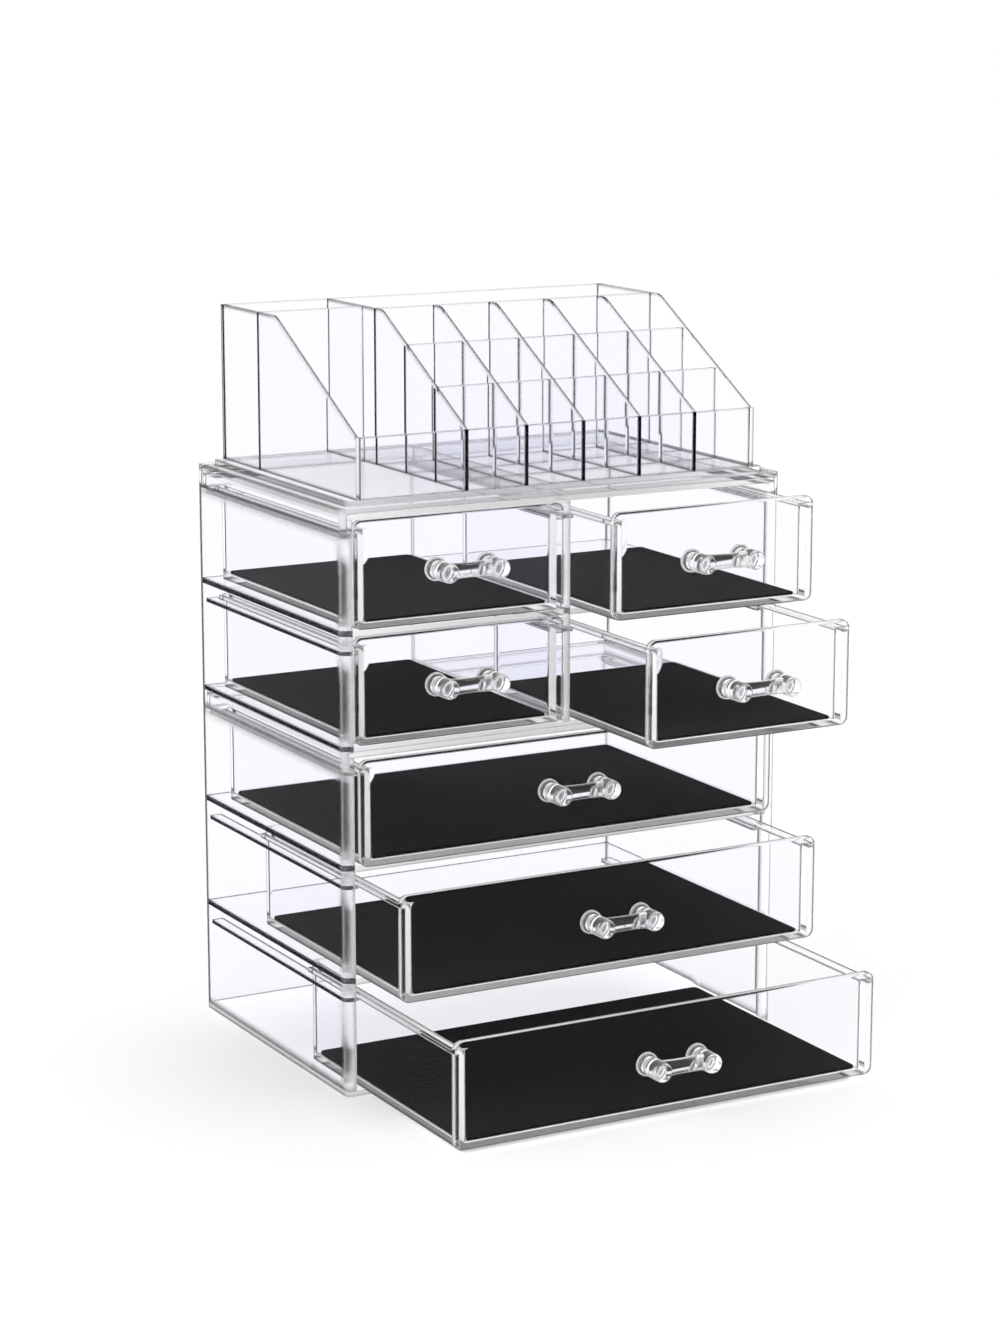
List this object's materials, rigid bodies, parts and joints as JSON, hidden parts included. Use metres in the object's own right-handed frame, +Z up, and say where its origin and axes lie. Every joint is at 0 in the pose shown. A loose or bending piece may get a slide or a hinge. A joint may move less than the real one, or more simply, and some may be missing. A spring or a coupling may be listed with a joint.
{
  "type": "acrylic makeup organizer drawers",
  "caption": "Clear stacking countertop organizer with wide and small pull-out drawers, waisted bar handles, dark liners and a divided, stepped tray on top.",
  "frame": {"origin": "centre of the lower case's underside", "axes": "+X to the right along the fronts, +Z up; the drawers pull out towards -Y"},
  "size_m": [0.235, 0.272, 0.355],
  "materials": {
    "clear_styrene": "clear, injection moulded, polished",
    "clear_handle": "clear, moulded solid, polished",
    "black_liner": "matte black foam pad with a fine woven face"
  },
  "bodies": {
    "lower_case": {"lower_floor": "clear_styrene", "lower_wall_left": "clear_styrene", "lower_wall_right": "clear_styrene", "lower_back": "clear_styrene", "lower_shelf_1": "clear_styrene", "lower_shelf_2": "clear_styrene", "lower_roof": "clear_styrene", "lower_rails_left": "clear_styrene", "lower_rails_right": "clear_styrene"},
    "upper_case": {"upper_floor": "clear_styrene", "upper_wall_left": "clear_styrene", "upper_wall_right": "clear_styrene", "upper_back": "clear_styrene", "upper_divider": "clear_styrene", "upper_shelf_left": "clear_styrene", "upper_shelf_right": "clear_styrene", "upper_roof": "clear_styrene", "upper_rails_left": "clear_styrene", "upper_rails_right": "clear_styrene", "upper_rails_centre": "clear_styrene"},
    "tray": {"tray_base": "clear_styrene", "tray_wall_left": "clear_styrene", "tray_wall_right": "clear_styrene", "tray_wall_back": "clear_styrene", "tray_wall_front": "clear_styrene", "tray_bay_divider": "clear_styrene", "tray_bay_cross_wall": "clear_styrene", "tray_rack_divider_1": "clear_styrene", "tray_rack_divider_2": "clear_styrene", "tray_rack_divider_3": "clear_styrene", "tray_rack_divider_4": "clear_styrene", "tray_rack_cross_wall_1": "clear_styrene", "tray_rack_cross_wall_2": "clear_styrene", "tray_rack_back": "clear_styrene"},
    "wide_drawer_bottom": {"wide_drawer_bottom_body": "clear_styrene", "wide_drawer_bottom_handle": "clear_handle", "wide_drawer_bottom_liner": "black_liner"},
    "wide_drawer_middle": {"wide_drawer_middle_body": "clear_styrene", "wide_drawer_middle_handle": "clear_handle", "wide_drawer_middle_liner": "black_liner"},
    "wide_drawer_top": {"wide_drawer_top_body": "clear_styrene", "wide_drawer_top_handle": "clear_handle", "wide_drawer_top_liner": "black_liner"},
    "left_drawer_lower": {"left_drawer_lower_body": "clear_styrene", "left_drawer_lower_handle": "clear_handle", "left_drawer_lower_liner": "black_liner"},
    "left_drawer_upper": {"left_drawer_upper_body": "clear_styrene", "left_drawer_upper_handle": "clear_handle", "left_drawer_upper_liner": "black_liner"},
    "right_drawer_lower": {"right_drawer_lower_body": "clear_styrene", "right_drawer_lower_handle": "clear_handle", "right_drawer_lower_liner": "black_liner"},
    "right_drawer_upper": {"right_drawer_upper_body": "clear_styrene", "right_drawer_upper_handle": "clear_handle", "right_drawer_upper_liner": "black_liner"}
  },
  "joints": [
    {"name": "upper_case_lift", "type": "slide", "parent": "lower_case", "child": "upper_case", "axis": [0, 0, 1], "range_m": [0, 0.03]},
    {"name": "tray_lift", "type": "slide", "parent": "upper_case", "child": "tray", "axis": [0, 0, 1], "range_m": [0, 0.03]},
    {"name": "wide_drawer_bottom_slide", "type": "slide", "parent": "lower_case", "child": "wide_drawer_bottom", "axis": [0, -1, 0], "range_m": [-0.096, 0.019]},
    {"name": "wide_drawer_middle_slide", "type": "slide", "parent": "lower_case", "child": "wide_drawer_middle", "axis": [0, -1, 0], "range_m": [-0.045, 0.07]},
    {"name": "wide_drawer_top_slide", "type": "slide", "parent": "lower_case", "child": "wide_drawer_top", "axis": [0, -1, 0], "range_m": [-0.005, 0.11]},
    {"name": "left_drawer_lower_slide", "type": "slide", "parent": "upper_case", "child": "left_drawer_lower", "axis": [0, -1, 0], "range_m": [0, 0.115]},
    {"name": "left_drawer_upper_slide", "type": "slide", "parent": "upper_case", "child": "left_drawer_upper", "axis": [0, -1, 0], "range_m": [0, 0.115]},
    {"name": "right_drawer_lower_slide", "type": "slide", "parent": "upper_case", "child": "right_drawer_lower", "axis": [0, -1, 0], "range_m": [-0.07, 0.045]},
    {"name": "right_drawer_upper_slide", "type": "slide", "parent": "upper_case", "child": "right_drawer_upper", "axis": [0, -1, 0], "range_m": [-0.038, 0.077]}
  ]
}
